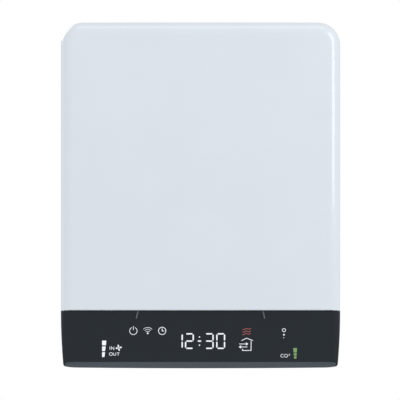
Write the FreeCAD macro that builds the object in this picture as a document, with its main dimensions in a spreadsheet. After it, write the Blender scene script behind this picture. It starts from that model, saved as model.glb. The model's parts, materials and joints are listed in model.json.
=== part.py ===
import FreeCAD, Part

# Single-room heat recovery ventilator that is fitted through an outside wall.
# A shallow indoor unit (white snap-off cover above a dark display fascia) stands on the wall face. A round
# tube carries the plate exchanger and two fans through the wall to a slotted head outdoors.
#
# Frame, in millimetres: X to the right seen from the room, Y into the wall, Z up. The origin is where the
# tube's axis meets the wall face, so the room is at negative Y and the tube runs along positive Y.

import math
import os
import re

import Sketcher
from FreeCAD import Placement, Rotation, Vector

DIMENSIONS = {
    # indoor unit as a whole
    "body_width": 246,
    "body_height": 305,
    "top_reach": 122,
    "body_depth": 84,
    "shell_depth": 46,
    "skin": 2.5,
    "inset": 2,
    "gap": 0.5,
    "overrun": 1,
    # screws
    "screw_head": 3.3,
    "screw_head_height": 2.2,
    "screw_shank": 1.7,
    "screw_play": 0.2,
    "cross_reach": 2,
    "cross_half": 0.4,
    "cross_depth": 1.2,
    # wall plate and its posts
    "plate_thickness": 3,
    "rail_inset": 16,
    "rail_edge": 1,
    "rail_width": 2,
    "wall_screw_radius": 2.75,
    "wall_screw_side": 95,
    "wall_screw_high": 100,
    "wall_screw_low": 160,
    "post_radius": 5,
    "post_thread": 17,
    "chassis_screw_length": 14,
    "board_screw_stop": 1.5,
    "cable_side": 80,
    "cable_drop": 120,
    "cable_radius": 4.5,
    "grommet_radius": 8,
    "grommet_lip": 2.5,
    "grommet_lip_height": 2,
    # rear housing and grilles
    "foot_corner": 5,
    "grip_length": 12,
    "grip_half": 35,
    "grip_depth": 1.2,
    "grille_front": 42,
    "grille_back": 10,
    "grille_margin": 2,
    "grille_play": 0.2,
    "grille_end": 4,
    "grille_side": 2.4,
    "grille_bar": 3,
    "slat_thickness": 1.6,
    "slat_play": 0.02,
    # chassis
    "chassis_screw_side": 108,
    "chassis_screw_high": 104,
    "chassis_screw_low": 100,
    "collar_inset": 4,
    "collar_width": 2,
    "collar_lift": 1,
    "collar_height": 6,
    "stiffener_half": 72,
    "stiffener_width": 1.6,
    "stiffener_height": 4,
    "stiffener_pitch": 28,
    "board_stand": 6,
    "stand_radius": 3.4,
    "vent_left": 84,
    "vent_right": 106,
    "vent_low": 68,
    "vent_width": 3,
    "vent_run": 42,
    "tray_height": 4,
    "tray_wall": 2,
    "tray_floor": 1.5,
    # catches between chassis and cover
    "catch_side": 98,
    "catch_high": 92,
    "catch_low": 112,
    "catch_play": 0.3,
    "tower_radius": 7,
    "tower_height": 20,
    "disc_height": 1.5,
    "magnet_radius": 6,
    "magnet_height": 3,
    "magnet_cup": 7.5,
    "post_setback": 2.2,
    # front cover
    "cover_corner": 20,
    "cover_edge": 11,
    "cover_foot_edge": 1.6,
    "cover_inner_edge": 0.8,
    "crown_radius": 3000,
    # fascia
    "band_height": 51.7,
    "band_step": 5.2,
    "band_bow": 2.2,
    "band_wall": 2.6,
    "band_joint": 0.6,
    "band_lift": 1.2,
    "band_side_arc": 548,
    "band_foot_arc": 9000,
    "band_taper": 2.2,
    "band_corner": 3,
    "cant_inset": 2.2,
    "cant_rise": 0.9,
    "cant_run": 12,
    "cant_radius": 60,
    "band_edge": 8,
    "band_side_wall": 3,
    "sill": 9,
    "trough_inset": 6,
    "trough_set": 12,
    "trough_floor": 4,
    "bevel_height": 6,
    "bevel_rise": 0.3,
    "bevel_reach": 2,
    "trim_end": 4.2,
    "guide_side": 55,
    "guide_slant": 1.4,
    "guide_width": 1.2,
    "guide_drop": 0.8,
    "guide_length": 6.4,
    "guide_seat": 0.48,
    "guide_height": 1,
    # display
    "board_thickness": 1.6,
    "display_depth": 12,
    "display_foot": 11,
    "display_head": 5,
    "display_side": 98,
    "display_screw_side": 92,
    "display_screw_level": 146,
    "display_screw_radius": 1.6,
    "lens_gap": 0.4,
    "spring_level": 171.2,
    "spring_radius": 2.6,
    "spring_bore": 1.9,
    "spring_length": 10,
    "spring_cap": 0.6,
    "ribbon_left": 8,
    "ribbon_width": 18,
    "ribbon_thickness": 0.8,
    "ribbon_margin": 2,
    "ribbon_space": 9,
    "ribbon_foot": 142,
    "ribbon_bend": 129,
    "ribbon_landing": 120.6,
    "ribbon_head": 116,
    "ribbon_skew": 0.4,
    "ribbon_lead": 2.2,
    # air duct, heater and plenum
    "duct_width": 160,
    "duct_wall": 2,
    "duct_back": 16,
    "duct_foot": 64,
    "plenum_width": 176,
    "plenum_top": 130,
    "liner_play": 0.3,
    "liner_wall": 2,
    "heater_set": 1,
    "heater_length": 8,
    "heater_rim": 1,
    "heater_pitch": 8,
    "heater_bar": 2,
    "bar_play": 0.05,
    # filter
    "filter_level": 164,
    "filter_height": 10,
    "filter_slot": 11,
    "filter_play": 0.4,
    "filter_start": 1,
    "tray_end": 3,
    "tray_side": 2,
    "pull_front": 34,
    "pull_back": 18,
    "pull_half": 1,
    "pull_proud": 1.2,
    "pleat_pitch": 5,
    "mat_thickness": 1.2,
    # vanes and their actuators
    "vane_thickness": 1.6,
    "vane_edge": 0.8,
    "vane_swell": 3,
    "vane_play": 1,
    "supply_vane_level": 98,
    "supply_vane_depth": 30.5,
    "supply_vane_chord": 24,
    "extract_vane_level": 143,
    "extract_vane_depth": 26,
    "extract_vane_chord": 26.8,
    "shaft_stub": 3,
    "shaft_drive": 8,
    "can_radius": 11,
    "can_length": 17,
    "ear_thickness": 1.2,
    "ear_half": 3,
    "ear_reach": 15,
    "socket_depth": 7,
    # wall tube and adapter
    "tube_radius": 75,
    "tube_wall": 3,
    "tube_length": 400,
    "tube_hole": 75.5,
    "adapter_wall": 4,
    "neck_play": 1.2,
    "sleeve_length": 12,
    "flange_radius": 86,
    "flange_screw_circle": 80,
    # fans
    "fan_length": 57.5,
    "fan_setback": 1,
    "ring_radius": 52,
    "ring_wall": 2,
    "blade_reach": 48.5,
    "blade_root": 20.8,
    "blade_middle": 19,
    "blade_camber": 1.6,
    "blade_thickness": 1.2,
    "blade_lean": 0.7,
    "blade_hollow": 0.2,
    "hub_radius": 22,
    "hub_wall": 2,
    "hub_taper": 3,
    "hub_face": 6,
    "hub_web": 2.5,
    "hub_end": 32,
    "motor_radius": 17,
    "motor_rim": 1,
    "stator_start": 16,
    "stator_end": 34,
    "bearing_radius": 6,
    "bearing_length": 4,
    "bearing_set": 1,
    "shaft_radius": 2,
    "shaft_play": 0.04,
    "shaft_end": 36,
    "plate_end": 37,
    "arm_end": 39,
    "arm_half": 2,
    "stay_start": 3,
    "stay_end": 11,
    "stay_half": 1.5,
    # exchanger
    "core_start": 58,
    "core_length": 240,
    "core_radius": 68,
    "core_shell": 2,
    "core_end": 3,
    "sheet_pitch": 6,
    "sheet_thickness": 0.8,
    "sheet_play": 0.4,
    "seal_inset": 2,
    "seal_length": 10,
    "slot_half": 1.9,
    "slot_edge": 2.5,
    "slot_land": 1,
    "slot_margin": 8,
    "slot_shortest": 4,
    # outdoor head
    "head_length": 50,
    "head_spigot": 14,
    "head_play": 0.1,
    "head_wall": 3,
    "head_step": 1.5,
    "head_edge": 2,
    "throat_gap": 1,
    "louvre_margin": 8,
    "louvre_half": 1.8,
    "exhaust_set": 8,
    "exhaust_depth": 7,
    "exhaust_pitch": 10.4,
    "exhaust_bar": 1.6,
    "foam_set": 30,
    "foam_length": 10,
}

# How often the repeated shapes occur.
SLATS = 3
STIFFENERS = 4
VENTS = 7
HEATER_BARS = 5
FAN_ARMS = 3
FAN_STAYS = 4
FAN_BLADES = 7
SHEETS = 10
LOUVRES = 36
EXHAUST_BARS = 4
TERMINALS = 4

doc = FreeCAD.newDocument("HeatRecoveryUnit")
dims = doc.addObject("Spreadsheet::Sheet", "dims")
for row, (alias, value) in enumerate(DIMENSIONS.items(), start=1):
    dims.set(f"A{row}", alias)
    dims.set(f"B{row}", str(value))
    dims.setAlias(f"B{row}", alias)
doc.recompute()

ALIAS = re.compile(r"\b(" + "|".join(DIMENSIONS) + r")\b")
PIECES = []

# Places that many pieces share, as formulas of the sheet's cells.
HALF_WIDTH = "(body_width/2)"
BAND_TOP = "(top_reach - body_height + band_height)"
BOTTOM = "(top_reach - body_height)"
INNER_HALF = "(body_width/2 - inset - skin - gap)"
INNER_TOP = "(top_reach - inset - skin - gap)"
INNER_BOTTOM = "(top_reach - body_height + inset + skin + gap)"
BAND_FRONT = "(body_depth - band_step)"
BAND_BACK = "(body_depth - band_step - band_bow - band_wall)"
DISPLAY_BACK = f"({BAND_BACK} - display_depth)"
DISPLAY_FACE = f"({BAND_BACK} - display_depth + board_thickness)"
BOARD_BACK = "(shell_depth + board_stand)"
BOARD_FACE = "(shell_depth + board_stand + board_thickness)"
CATCH_SEAT = "(shell_depth + tower_height + disc_height)"
OUTLET_HALF = "(duct_width/2 + grille_margin)"
INTAKE_HALF = "(plenum_width/2)"
LINER_BORE = "(ring_radius - liner_play - liner_wall)"
TUBE_BORE = "(tube_radius - tube_wall)"
CORE_LAST = "(core_start + core_length)"
OUTDOOR_FAN = "(core_start + core_length + core_start)"
TUBE_LAST = "tube_length"
HEAD_LAST = "(tube_length + head_length)"
RIBBON_WAY = ("ribbon_left - ribbon_margin", "ribbon_left + ribbon_width + ribbon_margin")


def four_places(side, high, low):
    """Four places, alike to the left and to the right."""
    return [(f"-{side}", high), (side, high), (f"-{side}", f"-{low}"), (side, f"-{low}")]


WALL_SCREWS = four_places("wall_screw_side", "wall_screw_high", "wall_screw_low")
CHASSIS_SCREWS = four_places("chassis_screw_side", "chassis_screw_high", "chassis_screw_low")
CATCHES = four_places("catch_side", "catch_high", "catch_low")
CABLE_ENTRY = ("-cable_side", "-cable_drop")
FLANGE_SCREWS = []
for angle in (45, 135, 225, 315):
    FLANGE_SCREWS.append((f"flange_screw_circle*cos({angle})", f"flange_screw_circle*sin({angle})"))

# Layout of the boards, seen from the room. A place is (left, right, low, high) and may end with a height.
CONTROL_BOARD = (-80, 72, -123, -31)
BOARD_SCREWS = [(-74, -36), (66, -36), (-74, -118), (66, -118)]
POWER_MODULE = (-72, -24, -112, -84, 18)
RELAYS = [(-14, 5, -112, -97, 14), (10, 29, -112, -97, 14)]
TERMINAL_HOUSING = (34, 64, -113, -101, 11)
FIRST_TERMINAL = (38, -107)
TERMINAL_PITCH = 7
# A terminal's cuts are (half width, below, above, front, floor), and its screw is (radius, length).
SCREW_WELL = (2, 2, 2, 12, 5)
WIRE_ENTRY = (2, 7, 3, 6, 2)
TERMINAL_SCREW = (1.8, 3.6)
TERMINAL_SCREW_TOP = 9
RADIO_PARTS = [(30, 48, -62, -38, 2.6), (49, 55, -62, -38, 0.8)]
CHIPS = [(-4, 6, -66, -56, 1.4), (-22, -14, -60, -55, 1.2), (14, 20, -76, -70, 1.6)]
SOCKETS = [(-66, -48, -42, -36, 7), (-40, -27, -42, -36, 7), (-20, -7, -42, -36, 7), (2, 20, -42, -36, 7)]
RIBBON_SOCKET = (6, 28, -115.8, -112.8, 4)
SOCKET_WALL = 1
SOCKET_FLOOR = 1.2
# The fuse: its axis as (height off the board, level), then (left end, radius, length) of glass and caps.
FUSE_AXIS = (4.2, -118)
FUSE_GLASS = (-20, 2.3, 15)
FUSE_CAPS = [(-23, 2.6, 3), (-5, 2.6, 3)]
FUSE_CLIPS = [(-22.5, -20.5, -120, -116, 2.4), (-4.5, -2.5, -120, -116, 2.4)]
# The buzzer is (x, z, radius, height) and its sound hole (radius, depth).
BUZZER = (54, -80, 6, 7)
SOUND_HOLE = (1, 2)
SENSOR_TRAY = (82, 108, -16, 22)
SENSOR_HEIGHT = 13
# The sensor's port is (level, radius, depth).
SENSOR_PORT = (12, 3, 1)
HUMIDITY_BOARD = (-108, -92, -20, 6)
HUMIDITY_FOOT = 2
HUMIDITY_FACE = 3.6
# The humidity cell is (margin at its sides, low, high) on its board, and rises as much again as its foot.
HUMIDITY_CELL = (4, 6, 12)
DIGIT_MODULE = (-20.5, 23.5, -167, -148)
LIGHT_GUIDES = [
    (-88, -78, -172, -156),
    (-64, -31, -156, -146),
    (28, 50, -168.4, -146),
    (66, 90, -172, -146),
]
TOUCH_KEYS = [-72, -57, -47, -37, 39, 60]
# Capacitors are (x, z, radius, height).
CAPACITORS = [(-62, -70, 6, 16), (-47, -70, 5, 13), (-34, -70, 5, 13), (0, -84, 4, 9)]
# Fan blade sections are (distance from the axis, run along the axis, spread around it).
BLADE_SECTIONS = [("blade_root", 20, 11), ("blade_reach", 15, 24)]
# Where the blade's two faces bend, as parts of its spread.
OUTER_BEND = 0.06
INNER_BEND = 0.02


# ---- helpers: formulas -------------------------------------------------------------------------------


def linked(formula):
    """The formula with each alias written as a reference to the sheet."""
    return ALIAS.sub(r"dims.\1", str(formula))


def number(formula):
    """The formula's value, worked out by the sheet."""
    return float(dims.evalExpression(linked(formula)))


def bind(target, **values):
    """Binds properties to formulas; a double underscore stands for the dot of a nested property."""
    for name, formula in values.items():
        target.setExpression(name.replace("__", "."), linked(formula))


def piece(target, label):
    """Names a finished sub-part and puts it on the list to export."""
    target.Label = label
    PIECES.append(target)
    return target


# ---- helpers: Part Design ----------------------------------------------------------------------------


def form_body(name):
    """An empty body: a finished sub-part, or only a form that others are made from."""
    return doc.addObject("PartDesign::Body", name)


def drawing_on(body, plane, offset=0):
    """A sketch on one of the body's own origin planes, moved along that plane's normal."""
    drawing = body.newObject("Sketcher::SketchObject", "Sketch")
    support = next(f for f in body.Origin.OriginFeatures if f.Role == plane)
    drawing.AttachmentSupport = [(support, "")]
    drawing.MapMode = "FlatFace"
    bind(drawing, AttachmentOffset__Base__z=offset)
    return drawing


def arc_through(start, end, radius):
    """The short arc between two points. It bulges to the right of the way, or to the left if negative."""
    chord = end - start
    half = chord.Length / 2
    across = Vector(chord.y, -chord.x, 0).normalize()
    rise = abs(radius) - math.sqrt(radius * radius - half * half)
    middle = (start + end) * 0.5 + across * math.copysign(rise, radius)
    return Part.Arc(start, middle, end)


def outline(drawing, corners):
    """Draws a closed outline. A corner is (x, y), or (x, y, radius) where an arc leads to the next."""
    points = [Vector(number(c[0]), number(c[1]), 0) for c in corners]
    ends = []
    for i, corner in enumerate(corners):
        start = points[i]
        end = points[(i + 1) % len(points)]
        if len(corner) == 2:
            index = drawing.addGeometry(Part.LineSegment(start, end))
        else:
            index = drawing.addGeometry(arc_through(start, end, number(corner[2])))
            limit = drawing.addConstraint(Sketcher.Constraint("Radius", index, abs(number(corner[2]))))
            drawing.setExpression(f"Constraints[{limit}]", linked(f"abs({corner[2]})"))
        flipped = (drawing.getPoint(index, 1) - start).Length > (drawing.getPoint(index, 2) - start).Length
        ends.append((index, 2, 1) if flipped else (index, 1, 2))
    for i, corner in enumerate(corners):
        index, first, last = ends[i]
        following = ends[(i + 1) % len(corners)]
        drawing.addConstraint(Sketcher.Constraint("Coincident", index, last, following[0], following[1]))
        for kind, formula in (("DistanceX", corner[0]), ("DistanceY", corner[1])):
            limit = drawing.addConstraint(Sketcher.Constraint(kind, -1, 1, index, first, number(formula)))
            drawing.setExpression(f"Constraints[{limit}]", linked(formula))


def circles(drawing, radius, *centres):
    """Draws circles of one radius, centred on formulas."""
    for centre in centres:
        middle = Vector(number(centre[0]), number(centre[1]), 0)
        index = drawing.addGeometry(Part.Circle(middle, Vector(0, 0, 1), number(radius)))
        limits = (
            (Sketcher.Constraint("Radius", index, number(radius)), radius),
            (Sketcher.Constraint("DistanceX", -1, 1, index, 3, middle.x), centre[0]),
            (Sketcher.Constraint("DistanceY", -1, 1, index, 3, middle.y), centre[1]),
        )
        for constraint, formula in limits:
            limit = drawing.addConstraint(constraint)
            drawing.setExpression(f"Constraints[{limit}]", linked(formula))


def box_corners(left, right, low, high):
    return [(left, low), (right, low), (right, high), (left, high)]


def rounded_corners(half, low, high, top_corner, foot_corner):
    """An upright outline about the middle with rounded upper and lower corners."""
    return [
        (f"-{half}", f"{high} - ({top_corner})"),
        (f"-{half}", f"{low} + ({foot_corner})", foot_corner),
        (f"-{half} + ({foot_corner})", low),
        (f"{half} - ({foot_corner})", low, foot_corner),
        (half, f"{low} + ({foot_corner})"),
        (half, f"{high} - ({top_corner})", top_corner),
        (f"{half} - ({top_corner})", high),
        (f"-{half} + ({top_corner})", high, top_corner),
    ]


def pad(body, drawing, length):
    feature = body.newObject("PartDesign::Pad", "Pad")
    feature.Profile = drawing
    bind(feature, Length=length)
    doc.recompute()
    return feature


def pocket(body, drawing, length, reverse=False):
    """Cuts the drawing out of the body, and stops if that takes nothing away."""
    before = body.Shape.Volume
    feature = body.newObject("PartDesign::Pocket", "Pocket")
    feature.Profile = drawing
    feature.Reversed = reverse
    bind(feature, Length=length)
    doc.recompute()
    if body.Shape.Volume > before - 0.01:
        raise RuntimeError(f"{body.Label}: a pocket cut nothing")
    return feature


def revolve(body, drawing):
    feature = body.newObject("PartDesign::Revolution", "Revolution")
    feature.Profile = drawing
    feature.ReferenceAxis = (drawing, ["V_Axis"])
    feature.Angle = 360
    doc.recompute()
    return feature


def dress(body, kind, value, wanted):
    """Fillets or chamfers those edges of the body's last feature that wanted() picks."""
    base = body.Tip
    names = [f"Edge{i}" for i, edge in enumerate(base.Shape.Edges, start=1) if wanted(edge)]
    if not names:
        raise RuntimeError(f"{body.Label}: no edge to {kind}")
    feature = body.newObject("PartDesign::" + kind, kind)
    feature.Base = (base, names)
    if kind == "Fillet":
        bind(feature, Radius=value)
    else:
        bind(feature, Size=value)
    doc.recompute()
    if "Invalid" in feature.State:
        raise RuntimeError(f"{body.Label}: the {kind} failed")
    return feature


def linear_pattern(body, original, axis, length, count):
    feature = body.newObject("PartDesign::LinearPattern", "LinearPattern")
    feature.Originals = [original]
    direction = next(f for f in body.Origin.OriginFeatures if f.Role == axis)
    feature.Direction = (direction, [""])
    bind(feature, Length=length)
    feature.Occurrences = count
    body.Tip = feature
    doc.recompute()
    return feature


def polar_pattern(body, original, count):
    feature = body.newObject("PartDesign::PolarPattern", "PolarPattern")
    feature.Originals = [original]
    axis = next(f for f in body.Origin.OriginFeatures if f.Role == "Y_Axis")
    feature.Axis = (axis, [""])
    feature.Angle = 360
    feature.Occurrences = count
    body.Tip = feature
    doc.recompute()
    return feature


def along(edge, axis):
    """Whether an edge is straight and parallel to an axis."""
    if len(edge.Vertexes) < 2 or not isinstance(edge.Curve, Part.Line):
        return False
    way = edge.Vertexes[1].Point - edge.Vertexes[0].Point
    return way.Length > 0 and abs(way.normalize().dot(axis)) > 0.9999


def middle_of(edge):
    return edge.valueAt((edge.FirstParameter + edge.LastParameter) / 2)


def plate_form(name, corners, near, far):
    """A form of constant outline seen from the room, from near to far in front of the wall face."""
    body = form_body(name)
    drawing = drawing_on(body, "XZ_Plane", near)
    outline(drawing, corners)
    pad(body, drawing, f"({far}) - ({near})")
    return body


def plate(label, corners, near, far):
    """The same as a sub-part of its own."""
    return piece(plate_form(label + "_form", corners, near, far), label)


def bar_along_x(name, start, length, corners):
    """A form that runs along X, with an outline of (y, z) corners."""
    body = form_body(name)
    drawing = drawing_on(body, "YZ_Plane", start)
    outline(drawing, corners)
    pad(body, drawing, length)
    return body


def turned(label, corners):
    """A body turned about the tube's axis from an outline of (radius, y) corners."""
    body = form_body(label + "_form")
    drawing = drawing_on(body, "XY_Plane")
    outline(drawing, corners)
    revolve(body, drawing)
    return piece(body, label)


def front_holes(body, radius, near, far, *centres):
    """Round holes along Y, between two distances in front of the wall face."""
    drawing = drawing_on(body, "XZ_Plane", far)
    circles(drawing, radius, *centres)
    return pocket(body, drawing, f"({far}) - ({near})")


# ---- helpers: Part primitives ------------------------------------------------------------------------

AXIS_TURN = {
    "X": Rotation(Vector(0, 1, 0), 90),
    "Y": Rotation(Vector(1, 0, 0), -90),
    "Z": Rotation(),
}


def block(x, y, z):
    """A box given by its (low, high) formulas along each axis."""
    box = doc.addObject("Part::Box", "Block")
    bind(
        box,
        Length=f"({x[1]}) - ({x[0]})",
        Width=f"({y[1]}) - ({y[0]})",
        Height=f"({z[1]}) - ({z[0]})",
        Placement__Base__x=x[0],
        Placement__Base__y=y[0],
        Placement__Base__z=z[0],
    )
    return box


def rod(axis, start, radius, length):
    """A cylinder along an axis from its start point."""
    cylinder = doc.addObject("Part::Cylinder", "Rod")
    cylinder.Placement = Placement(Vector(), AXIS_TURN[axis])
    bind(
        cylinder,
        Radius=radius,
        Height=length,
        Placement__Base__x=start[0],
        Placement__Base__y=start[1],
        Placement__Base__z=start[2],
    )
    return cylinder


def fused(*parts):
    if len(parts) == 1:
        return parts[0]
    union = doc.addObject("Part::MultiFuse", "Fusion")
    union.Shapes = list(parts)
    return union


def cut(base, *tools):
    difference = doc.addObject("Part::Cut", "Cut")
    difference.Base = base
    difference.Tool = fused(*tools)
    return difference


def shared_by(first, second):
    """What two forms have in common."""
    common = doc.addObject("Part::Common", "Common")
    common.Base = first
    common.Tool = second
    doc.recompute()
    return common


def grouped(label, parts):
    """Several separate solids in one node."""
    compound = doc.addObject("Part::Compound", label + "_group")
    compound.Links = list(parts)
    return piece(compound, label)


def ring(start, outer, inner, length):
    """A ring about the tube's axis."""
    body = rod("Y", (0, start, 0), outer, length)
    return cut(body, rod("Y", (0, f"({start}) - overrun", 0), inner, f"{length} + 2*overrun"))


def screws(label, centres, seat, shank_length):
    """Cross-head screws driven from the room side, their heads on the plane at y = -seat."""
    bodies = []
    crown = f"-({seat}) - screw_head_height"
    cross_depth = (f"{crown} - overrun", f"{crown} + cross_depth")
    for x, z in centres:
        head = rod("Y", (x, crown, z), "screw_head", "screw_head_height")
        shank = rod("Y", (x, f"-({seat})", z), "screw_shank", shank_length)
        wide = (f"{x} - cross_reach", f"{x} + cross_reach"), (f"{z} - cross_half", f"{z} + cross_half")
        tall = (f"{x} - cross_half", f"{x} + cross_half"), (f"{z} - cross_reach", f"{z} + cross_reach")
        slots = [block(across, cross_depth, upright) for across, upright in (wide, tall)]
        bodies.append(cut(fused(head, shank), *slots))
    return grouped(label, bodies)


# ---- wall plate, housing and chassis -----------------------------------------------------------------


def inner_outline():
    """The outline that just fits inside the rear housing."""
    return rounded_corners(INNER_HALF, INNER_BOTTOM, INNER_TOP, "cover_corner - inset - skin - gap", 2)


def make_wall_plate():
    """Moulded plate that is screwed to the wall, with a rail along its top and one along its foot."""
    body = plate("wall_plate", inner_outline(), 0, "plate_thickness")
    rails = drawing_on(body, "XZ_Plane", "plate_thickness")
    end = f"({INNER_HALF} - rail_inset)"
    for low in (f"{INNER_BOTTOM} + rail_edge", f"{INNER_TOP} - rail_edge - rail_width"):
        outline(rails, box_corners(f"-{end}", end, low, f"{low} + rail_width"))
    pad(body, rails, "rail_width")
    front_holes(body, "tube_hole", 0, "plate_thickness", (0, 0))
    front_holes(body, "wall_screw_radius", 0, "plate_thickness", *WALL_SCREWS)
    front_holes(body, "grommet_radius", 0, "plate_thickness", CABLE_ENTRY)
    front_holes(body, "screw_shank + screw_play", 0, "plate_thickness", *FLANGE_SCREWS)


def make_chassis_posts():
    """Four posts on the wall plate that carry the chassis."""
    posts = []
    for x, z in CHASSIS_SCREWS:
        front = "-shell_depth + plate_thickness"
        post = rod("Y", (x, front, z), "post_radius", "shell_depth - 2*plate_thickness")
        length = "plate_thickness + post_thread"
        thread = rod("Y", (x, "-shell_depth", z), "screw_shank + screw_play", length)
        posts.append(cut(post, thread))
    grouped("chassis_posts", posts)


def make_cable_grommet():
    """Rubber grommet in the wall plate, through which the mains cable comes out of the wall."""
    x, z = CABLE_ENTRY
    front = "-plate_thickness - grommet_lip_height"
    sleeve = rod("Y", (x, "-plate_thickness", z), "grommet_radius", "plate_thickness - screw_play")
    lip = rod("Y", (x, front, z), "grommet_radius + grommet_lip", "grommet_lip_height")
    through = "plate_thickness + grommet_lip_height + 2*overrun"
    bore = rod("Y", (x, f"{front} - overrun", z), "cable_radius", through)
    piece(cut(fused(sleeve, lip), bore), "cable_grommet")


def make_rear_housing():
    """White rim on the wall: outlet above, intake below, filter slot and grips at the sides."""
    half = "(body_width/2 - inset)"
    top = "(top_reach - inset)"
    bottom = "(top_reach - body_height + inset)"
    corner = "cover_corner - inset"
    outside = rounded_corners(half, bottom, top, corner, "foot_corner")
    body = plate("rear_housing", outside, "gap", "shell_depth")
    hollow = drawing_on(body, "XZ_Plane", "shell_depth")
    inside = (f"({half} - skin)", f"({bottom} + skin)", f"({top} - skin)")
    outline(hollow, rounded_corners(*inside, f"{corner} - skin", "foot_corner - skin"))
    pocket(body, hollow, "shell_depth")
    for level, reach in ((top, OUTLET_HALF), (f"{bottom} + skin", INTAKE_HALF)):
        opening = drawing_on(body, "XY_Plane", level)
        outline(opening, box_corners(f"-{reach}", reach, "-grille_front", "-grille_back"))
        pocket(body, opening, "skin")
    filter_slot = drawing_on(body, "YZ_Plane", half)
    low, high = "-filter_level - filter_slot/2 - gap", "-filter_level + filter_slot/2 + gap"
    outline(filter_slot, box_corners("-grille_front", "-grille_back", low, high))
    pocket(body, filter_slot, "skin")
    for side, from_left in ((half, False), (f"-{half}", True)):
        grip = drawing_on(body, "YZ_Plane", side)
        reach = ("-shell_depth - overrun", "-shell_depth + grip_length")
        outline(grip, box_corners(*reach, "-grip_half", "grip_half"))
        pocket(body, grip, "grip_depth", from_left)


def make_grille(label, half, level):
    """An insert for the housing's top or bottom wall: a rim with a middle bar, and slats either side."""
    front = "(-grille_front + grille_play)"
    back = "(-grille_back - grille_play)"
    height = (level, f"{level} + skin")
    through = (f"{level} - overrun", f"{level} + skin + overrun")
    first, last = f"({front} + grille_side)", f"({back} - grille_side)"
    sides = [(f"-{half} + grille_end", "-grille_bar/2"), ("grille_bar/2", f"{half} - grille_end")]
    rim = block((f"-{half} + grille_play", f"{half} - grille_play"), (front, back), height)
    parts = [cut(rim, *[block(side, (first, last), through) for side in sides])]
    for start, end in sides:
        for step in range(1, SLATS + 1):
            middle = f"({first} + {step}*({last} - {first})/{SLATS + 1})"
            thick = (f"{middle} - slat_thickness/2", f"{middle} + slat_thickness/2")
            parts.append(block((f"{start} + slat_play", f"{end} - slat_play"), thick, height))
    grouped(label, parts)


def make_chassis():
    """Inner front plate: it closes the air duct, carries the boards and has towers for the catches."""
    body = plate_form("chassis_plate", inner_outline(), "shell_depth - plate_thickness", "shell_depth")
    collar = drawing_on(body, "XZ_Plane", "shell_depth")
    for inset in ("collar_inset", "collar_inset + collar_width"):
        side = f"({INNER_HALF} - ({inset}))"
        low = f"{BAND_TOP} + collar_lift + {inset}"
        outline(collar, box_corners(f"-{side}", side, low, f"{INNER_TOP} - ({inset})"))
    pad(body, collar, "collar_height")
    stiffeners = drawing_on(body, "XZ_Plane", "shell_depth")
    for step in range(STIFFENERS):
        low = f"{step}*stiffener_pitch"
        high = f"{low} + stiffener_width"
        outline(stiffeners, box_corners("-stiffener_half", "stiffener_half", low, high))
    pad(body, stiffeners, "stiffener_height")
    for radius, height, places in (
        ("stand_radius", "board_stand", BOARD_SCREWS),
        ("tower_radius", "tower_height", CATCHES),
    ):
        bosses = drawing_on(body, "XZ_Plane", "shell_depth")
        circles(bosses, radius, *places)
        pad(body, bosses, height)
    thread = "screw_shank + screw_play"
    front_holes(body, thread, "shell_depth - plate_thickness", "shell_depth", *CHASSIS_SCREWS)
    front_holes(body, thread, "shell_depth + overrun", BOARD_BACK, *BOARD_SCREWS)
    vent = drawing_on(body, "XZ_Plane", "shell_depth")
    outline(vent, box_corners("vent_left", "vent_right", "-vent_low", "-vent_low + vent_width"))
    first = pocket(body, vent, "plate_thickness")
    linear_pattern(body, first, "Z_Axis", "vent_run", VENTS)
    left, right, low, high = SENSOR_TRAY
    tray = cut(
        block((left, right), ("-shell_depth - tray_height", "-shell_depth"), (low, high)),
        block(
            (f"{left} + tray_wall", f"{right} - tray_wall"),
            ("-shell_depth - tray_height - overrun", "-shell_depth - tray_floor"),
            (f"{low} + tray_wall", f"{high} - tray_wall"),
        ),
    )
    piece(fused(body, tray), "front_chassis")


# ---- cover and its catches ---------------------------------------------------------------------------


def is_upper_corner(edge):
    """Whether an edge runs front to back in the upper half."""
    return along(edge, Vector(0, 1, 0)) and middle_of(edge).z > 0


def crowned_block(label, clearance, depth):
    """The cover's outer or inner form: a rounded outline under a slightly domed front."""
    body = form_body(label)
    drawing = drawing_on(body, "XZ_Plane", "shell_depth + gap")
    side = f"({HALF_WIDTH} - {clearance})"
    reach = (f"{BAND_TOP} + {clearance}", f"top_reach - {clearance}")
    outline(drawing, box_corners(f"-{side}", side, *reach))
    pad(body, drawing, f"body_depth - shell_depth - gap - {depth} + overrun")
    dress(body, "Fillet", f"cover_corner - {clearance}", is_upper_corner)
    dome = doc.addObject("Part::Sphere", label + "_dome")
    bind(
        dome,
        Radius=f"crown_radius - {depth}",
        Placement__Base__y="crown_radius - body_depth",
        Placement__Base__z=f"(top_reach + {BAND_TOP})/2",
    )
    return shared_by(body, dome)


def soften_front(form, radius, foot_radius):
    """Fillets the edges round the domed front: the sides and top at one radius, the foot at another."""
    fillet = doc.addObject("Part::Fillet", "SoftFront")
    fillet.Base = form
    edges = []
    foot = number(BAND_TOP) + number("skin + gap")
    front = -number("shell_depth + cover_edge")
    for i, edge in enumerate(form.Shape.Edges, start=1):
        box = edge.BoundBox
        if box.YMax < front:
            chosen = number(foot_radius if box.ZMax < foot else radius)
            edges.append((i, chosen, chosen))
    fillet.Edges = edges
    doc.recompute()
    return fillet


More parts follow.
